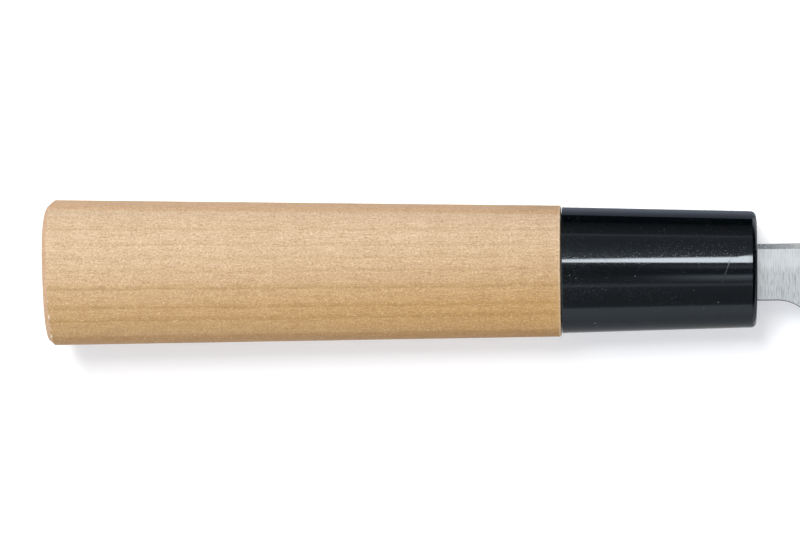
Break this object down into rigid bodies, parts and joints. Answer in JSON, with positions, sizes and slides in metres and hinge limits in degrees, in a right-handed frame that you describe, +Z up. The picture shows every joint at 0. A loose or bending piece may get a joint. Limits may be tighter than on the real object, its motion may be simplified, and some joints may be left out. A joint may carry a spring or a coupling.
{
  "type": "deba knife",
  "caption": "Deba kitchen knife: thick single-bevel blade with a hollow back and stick tang, oval wooden grip and glossy black ferrule.",
  "frame": {"origin": "on the table under the middle of the knife's box, with the knife lying on its hollow back", "axes": "+X along the handle towards the tip, +Y towards the spine, +Z up, out of the bevelled front face"},
  "size_m": [0.2908, 0.0544, 0.0218],
  "materials": {
    "steel": "satin, ground across the blade, rough spine",
    "wood": "fine straight grain, sanded, unvarnished",
    "black_plastic": "glossy moulded, faint hairlines",
    "bedding_resin": "cured resin",
    "seal_resin": "cured resin"
  },
  "bodies": {
    "root": {"blade": "steel", "grip": "wood", "ferrule": "black_plastic", "tang_bedding": "bedding_resin", "mouth_seal": "seal_resin"}
  },
  "joints": []
}
